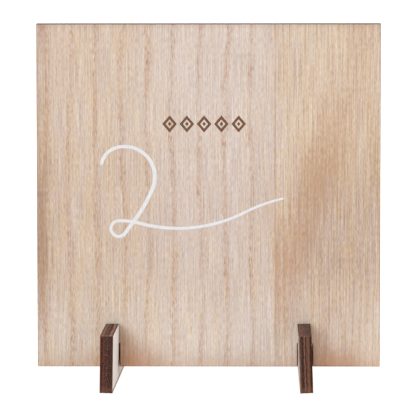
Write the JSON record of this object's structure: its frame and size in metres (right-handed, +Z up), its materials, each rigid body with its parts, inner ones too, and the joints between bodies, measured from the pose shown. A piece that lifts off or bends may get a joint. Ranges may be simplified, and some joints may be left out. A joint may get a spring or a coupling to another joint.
{
  "type": "table number holder",
  "caption": "Square plywood table number sign with an engraved ornament and a printed numeral, leaning in slotted plywood feet.",
  "frame": {"origin": "on the table plane, under the middle of the box around the whole object: midway between the feet", "axes": "+Z up, the sign's printed front looks towards -Y and its top edge leans towards +Y, +X to the viewer's right"},
  "size_m": [0.15, 0.06, 0.1556],
  "materials": {
    "sign_veneer": "bare sanded pale veneer with upright grain",
    "foot_veneer": "bare sanded very pale veneer",
    "crossband_ply": "laser-cut edge, charred dark brown",
    "core_ply": "laser-cut edge, toasted brown",
    "numeral_ink": "matt opaque white print"
  },
  "bodies": {
    "left_foot": {"left_foot_outer_veneer": "foot_veneer", "left_foot_outer_crossband": "crossband_ply", "left_foot_core": "core_ply", "left_foot_inner_crossband": "crossband_ply", "left_foot_inner_veneer": "foot_veneer"},
    "sign": {"sign_front_veneer": "sign_veneer", "sign_front_crossband": "crossband_ply", "sign_core": "core_ply", "sign_rear_crossband": "crossband_ply", "sign_rear_veneer": "sign_veneer", "sign_numeral_print": "numeral_ink"},
    "right_foot": {"right_foot_outer_veneer": "foot_veneer", "right_foot_outer_crossband": "crossband_ply", "right_foot_core": "core_ply", "right_foot_inner_crossband": "crossband_ply", "right_foot_inner_veneer": "foot_veneer"}
  },
  "joints": [
    {"name": "sign_lift", "type": "slide", "parent": "left_foot", "child": "sign", "axis": [0, 0.0785, 0.9969], "range_m": [0, 0.025]},
    {"name": "right_foot_slide", "type": "slide", "parent": "sign", "child": "right_foot", "axis": [0, -0.0785, -0.9969], "range_m": [0, 0.025]}
  ],
  "couplings": [
    {"joint": "right_foot_slide", "follows": "sign_lift", "ratio": 1}
  ]
}
